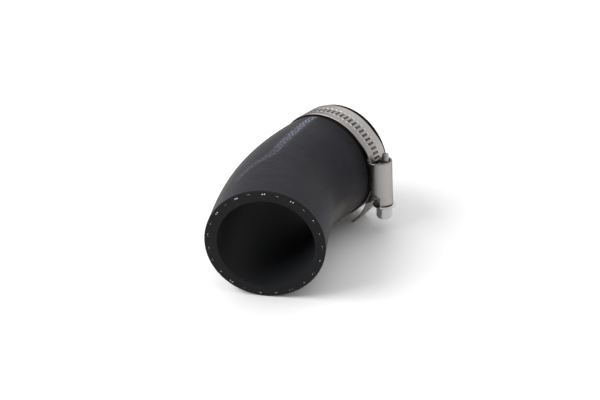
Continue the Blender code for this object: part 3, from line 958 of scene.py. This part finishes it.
def make_housing():
    """The folded housing, with its cut-out by the screw's head and its sharp edges broken."""
    housing, looks = sizes_of("housing_sizes", "looks")
    rolled_length, rolled_steps, plain_steps = 0.0006, 8, 32
    slope_length, slope_from, slope_across, edge_break = 0.004, -0.002, 0.006, 0.00009
    plain_start = housing.above - rolled_length
    plain_length = housing.below + plain_start
    heights = [housing.above - rolled_length * (i / rolled_steps) ** 1.5 for i in range(rolled_steps + 1)]
    heights += [plain_start - plain_length * i / plain_steps for i in range(1, plain_steps + 1)]
    rows = []
    for height in heights:
        rolled = max(1 - (housing.above - height) / rolled_length, 0.0)
        tucked = housing.sheet * 0.6 * (1 - math.sqrt(1 - rolled**2))
        turned_in = housing.lip * eased(rolled)
        outer, inner = housing_line(height, tucked), housing_line(height, housing.sheet + turned_in)
        foot = housing_line(height, housing.sheet)
        inner[:2], inner[-2:] = foot[:2], foot[-2:]
        slope = housing.tip_slope * eased(1 - (housing.above - height) / slope_length)
        rows.append([Vector((x, y, height - slope * eased((y - slope_from) / slope_across)))
                     for x, y in outer + inner[::-1]])
    mesh = lattice("housing", rows)
    across = len(rows[0])
    # Painted shade: the inside, past the turned-in lip, takes the shaded copy of the steel.
    for face in mesh.polygons:
        inner_side = face.index % across >= across // 2
        face.material_index = int(inner_side and face.index // across >= rolled_steps)
    shape = bmesh.new()
    shape.from_mesh(mesh)
    shape.verts.ensure_lookup_table()
    for start in (0, (len(rows) - 1) * across):
        for i in range(across // 2 - 1):
            shape.faces.new([shape.verts[start + k] for k in (i, i + 1, across - 2 - i, across - 1 - i)])
    close(shape, mesh)

    low, end = strip_inner_radius(), -housing.below - 0.002
    high, far_below = screw_axis_radius() + housing.window_past_axis, low - 0.02
    outline = [(far_below, -housing.window_start), (low, -housing.window_start),
               (high, -housing.window_start - housing.window_slant), (high, end), (far_below, end)]
    side = sizes_of("clamp_sizes").width
    window = lattice("window", [[Vector((x, y, z)) for x, z in outline] for y in (-side, side)], caps=True)
    # Painted shade: the cut-out's edges take the shaded copy of the steel.
    window.polygons.foreach_set("material_index", [1] * len(window.polygons))
    blank, cutter = add_object("housing_blank", mesh), add_object("window", window)
    for tone, name in ((looks.pressed, "pressed_stainless"), (looks.housing_shade, "shaded_stainless")):
        finish = pressed_steel(name, tone)
        for spare in (blank, cutter):
            spare.data.materials.append(finish.material)
    cut = blank.modifiers.new("window", "BOOLEAN")
    cut.operation, cut.object = "DIFFERENCE", cutter
    broken = blank.modifiers.new("broken_edges", "BEVEL")
    broken.width, broken.segments = edge_break, 2
    broken.limit_method, broken.angle_limit = "ANGLE", math.radians(50)
    bpy.context.view_layer.update()
    baked = bpy.data.meshes.new_from_object(blank.evaluated_get(bpy.context.evaluated_depsgraph_get()))
    baked.transform(clamp_frame())
    for spare in (blank, cutter):
        bpy.data.objects.remove(spare)
    show("housing_sheet", baked, [], "hose_and_clamp", "screw_housing")


def thread_depth_share(screw, angle, height):
    """How far below its crest a right-hand thread lies at an angle and a height, from nought to one."""
    half_crest, flank = 0.17, 0.16
    phase = (height / screw.pitch - angle / (2 * math.pi)) % 1.0
    return eased((abs(phase - 0.5) - half_crest) / flank)


def hexagon_radius(screw, angle):
    """Radius of the hexagon's outline at an angle, with its corners just broken."""
    sixth, corner = math.pi / 3, 1.125
    off_flat = (angle - screw.hexagon_turn + sixth / 2) % sixth - sixth / 2
    flat = screw.hexagon / 2
    return min(flat / math.cos(off_flat), flat * corner)


def make_screw():
    """The worm screw from its tip down: thread, neck, flange and chamfered hexagon."""
    screw, housing, looks = sizes_of("screw_sizes", "housing_sizes", "looks")
    sides, steps_in_turn, run_in, under_root = 96, 14, 0.0008, 0.0001
    rows, values = [], []
    crest = screw.thread_diameter / 2
    root = crest - screw.thread_depth

    def ring(height, radius_at, dirt_and_shade_at=lambda angle: 0.0):
        points, dirt_and_shade = [], []
        for i in range(sides):
            angle = screw.hexagon_turn + 2 * math.pi * (i + 0.5) / sides
            radius = radius_at(angle)
            points.append(Vector((radius * math.cos(angle), radius * math.sin(angle), height)))
            dirt_and_shade.append(dirt_and_shade_at(angle))
        rows.append(points)
        values.append(dirt_and_shade)

    tip = housing.above + screw.tip_past
    bottom = -housing.below + screw.pitch / 2
    shear = Vector((0.00055, -0.0001, 0.0))
    stub_rings = ((0.0, 0.50, 1.0), (0.00003, 0.66, 1.0), (0.00015, 0.77, 1.0), (0.0004, 0.83, 1.0),
                  (0.7 * screw.stub, 0.85, 0.7), (screw.stub - 0.0002, 0.90, 0.15))
    # Painted shade: the sheared stub is darkened all round, most on one side.
    for down, reach, lean in stub_rings:
        ring(tip - down, lambda angle: root * reach, lambda angle: min(1.3 - 0.6 * math.cos(angle), 1.5))
        rows[-1] = [point + shear * lean for point in rows[-1]]
    tip -= screw.stub
    threaded = tip - bottom
    count = round(threaded / screw.pitch * steps_in_turn)
    for i in range(count + 1):
        height = tip - threaded * i / count
        fade = eased((height - bottom) / run_in)
        top = root - under_root + (crest - root + under_root) * min((tip - height) / run_in, 1.0)

        def radius_at(angle):
            deep = thread_depth_share(screw, angle, height)
            return min(crest - screw.thread_depth * (1 - (1 - deep) * fade), top)

        # Painted shade: the top turn of the thread, inside the housing's tip, is darkened; the roots are
        # darkened with dirt and painted shade.
        soiled = eased(1.3 - (tip - height) / screw.pitch)
        ring(height, radius_at, lambda angle: max(thread_depth_share(screw, angle, height), 1.4 * soiled))
    neck = screw.neck / 2
    flange_top = -housing.below - screw.clearance
    flange_bottom = flange_top - screw.flange_thickness
    rim = screw.flange / 2
    rounded = ((0.0, 0.0006), (0.00007, 0.0003), (0.00022, 0.0001), (0.00042, 0.0))
    turned = [(bottom - 0.0003, neck), (flange_top + 0.00005, neck), (flange_top, neck + 0.0001)]
    turned += [(flange_top - down, rim - inset) for down, inset in rounded]
    turned += [(flange_bottom + up, rim - inset) for up, inset in reversed(rounded)]
    for height, radius in turned:
        ring(height, lambda angle: radius)
    for down, fillet in ((0.0, 0.00025), (0.00008, 0.00008), (0.0003, 0.0)):
        ring(flange_bottom - down, lambda angle: hexagon_radius(screw, angle) + fillet)
    head_end = flange_bottom - screw.hexagon_length
    dome, dome_steps = 0.0016, 8
    for i in range(dome_steps + 1):
        height = head_end + dome * (1 - i / dome_steps)
        fall = math.sqrt(max(1 - (i / dome_steps) ** 2, 0.0))
        cone = screw.hexagon / 2 * (0.70 + 0.46 * fall)
        ring(height, lambda angle: min(hexagon_radius(screw, angle), cone))
    ring(head_end, lambda angle: screw.hexagon / 2 * 0.45)
    mesh = lattice("worm", rows, screw_frame(), caps=True, values=values)
    show("worm", mesh, [plated_steel(looks)], "screw", "worm_screw")


def panel(name, size, place, brightness):
    """A large soft light that faces the part and isn't seen by the camera."""
    light = bpy.data.lights.new(name, "AREA")
    light.shape = "SQUARE"
    light.size = size
    light.energy = brightness * math.pi * size * size
    lamp = add_object(name, light)
    part_middle = Vector((0, 0, 0.02))
    lamp.location = place
    lamp.rotation_euler = (part_middle - lamp.location).to_track_quat("-Z", "Y").to_euler()
    lamp.visible_camera = False


def make_stage():
    """Plain pale floor, soft light all round with two large panels, and the photograph's camera."""
    stage = sizes_of("stage_sizes")
    scene = bpy.context.scene
    floor_finish = Finish("plain_floor")
    wash = floor_finish.noise(floor_finish.place(), 3.0)
    floor_finish.set(Base_Color=floor_finish.tint(stage.floor, 0.985 + wash * 0.03), Roughness=0.8)
    half = 4.0
    corners = [(-half, -half, 0), (half, -half, 0), (half, half, 0), (-half, half, 0)]
    mesh = bpy.data.meshes.new("floor")
    mesh.from_pydata(corners, [], [(0, 1, 2, 3)])
    mesh.materials.append(floor_finish.material)
    add_object("floor", mesh)

    room = scene.world or bpy.data.worlds.new("room")
    scene.world = room
    room.use_nodes = True
    walls = Nodes(room.node_tree)
    x, y, z = walls.parts(walls.add("ShaderNodeTexCoord", {}, {}, output="Generated"))
    behind = stage.front + y.step(-0.5, 0.6) * (1.0 - stage.front)
    leftward = 1.0 - x.step(0.2, -0.6) * (1.0 - stage.left)
    upward = 1.0 - z.step(0.1, 0.6) * (1.0 - stage.high)
    background = room.node_tree.nodes["Background"]
    background.inputs["Color"].default_value = (1.0, 1.0, 1.0, 1.0)
    walls.feed(background.inputs["Strength"], behind * leftward * upward * stage.room)
    panel("top_panel", 2.2, (-0.25, 0.25, 1.1), stage.top)
    panel("left_panel", 0.8, (-0.80, -0.30, 0.65), stage.side)

    camera = bpy.data.cameras.new("camera")
    camera.sensor_width = 36.0
    camera.lens = stage.lens
    camera.clip_start = 0.01
    viewer = add_object("camera", camera)
    viewer.location = stage.place
    viewer.rotation_euler = stage.aim
    scene.camera = viewer
    scene.view_settings.view_transform = "Standard"


class MakeStage(bpy.types.Operator):
    """Add the floor, lights and camera"""

    bl_idname = "turbo_hose.stage"
    bl_label = "Stage"

    def execute(self, context):
        make_stage()
        return {"FINISHED"}


class MakeHose(bpy.types.Operator):
    """Make the moulded rubber elbow"""

    bl_idname = "turbo_hose.hose"
    bl_label = "Hose"

    def execute(self, context):
        make_hose()
        return {"FINISHED"}


class MakeYarnEnds(bpy.types.Operator):
    """Make the cut yarn ends in both end faces"""

    bl_idname = "turbo_hose.yarn_ends"
    bl_label = "Yarn ends"

    def execute(self, context):
        make_yarn_ends()
        return {"FINISHED"}


class MakeBand(bpy.types.Operator):
    """Make the clamp's grooved strip"""

    bl_idname = "turbo_hose.band"
    bl_label = "Clamp strip"

    def execute(self, context):
        make_band()
        return {"FINISHED"}


class MakeHousing(bpy.types.Operator):
    """Make the folded screw housing"""

    bl_idname = "turbo_hose.housing"
    bl_label = "Screw housing"

    def execute(self, context):
        make_housing()
        return {"FINISHED"}


class MakeScrew(bpy.types.Operator):
    """Make the worm screw"""

    bl_idname = "turbo_hose.screw"
    bl_label = "Worm screw"

    def execute(self, context):
        make_screw()
        return {"FINISHED"}


operators = (MakeStage, MakeHose, MakeYarnEnds, MakeBand, MakeHousing, MakeScrew)
groups = {
    "hose_sizes": HoseSizes,
    "yarn_sizes": YarnSizes,
    "clamp_sizes": ClampSizes,
    "housing_sizes": HousingSizes,
    "screw_sizes": ScrewSizes,
    "looks": Looks,
    "stage_sizes": StageSizes,
}


class HosePanel(bpy.types.Panel):
    """Lists the steps and the sizes"""

    bl_idname = "VIEW3D_PT_turbo_hose"
    bl_label = "Turbo hose"
    bl_space_type = "VIEW_3D"
    bl_region_type = "UI"
    bl_category = "Turbo hose"

    def draw(self, context):
        for operator in operators:
            self.layout.operator(operator.bl_idname)
        for name, group in groups.items():
            box = self.layout.box()
            box.label(text=name.replace("_", " ").capitalize())
            for key in group.__annotations__:
                box.prop(getattr(context.scene, name), key)


def register():
    """Register the property groups, operators and panel."""
    for name, group in groups.items():
        bpy.utils.register_class(group)
        setattr(bpy.types.Scene, name, PointerProperty(type=group))
    for kind in (*operators, HosePanel):
        bpy.utils.register_class(kind)


def unregister():
    """Remove what register added."""
    for kind in (HosePanel, *reversed(operators)):
        bpy.utils.unregister_class(kind)
    for name, group in groups.items():
        delattr(bpy.types.Scene, name)
        bpy.utils.unregister_class(group)


def main():
    register()
    for operator in operators:
        group, name = operator.bl_idname.split(".")
        getattr(getattr(bpy.ops, group), name)()


if __name__ == "__main__":
    main()
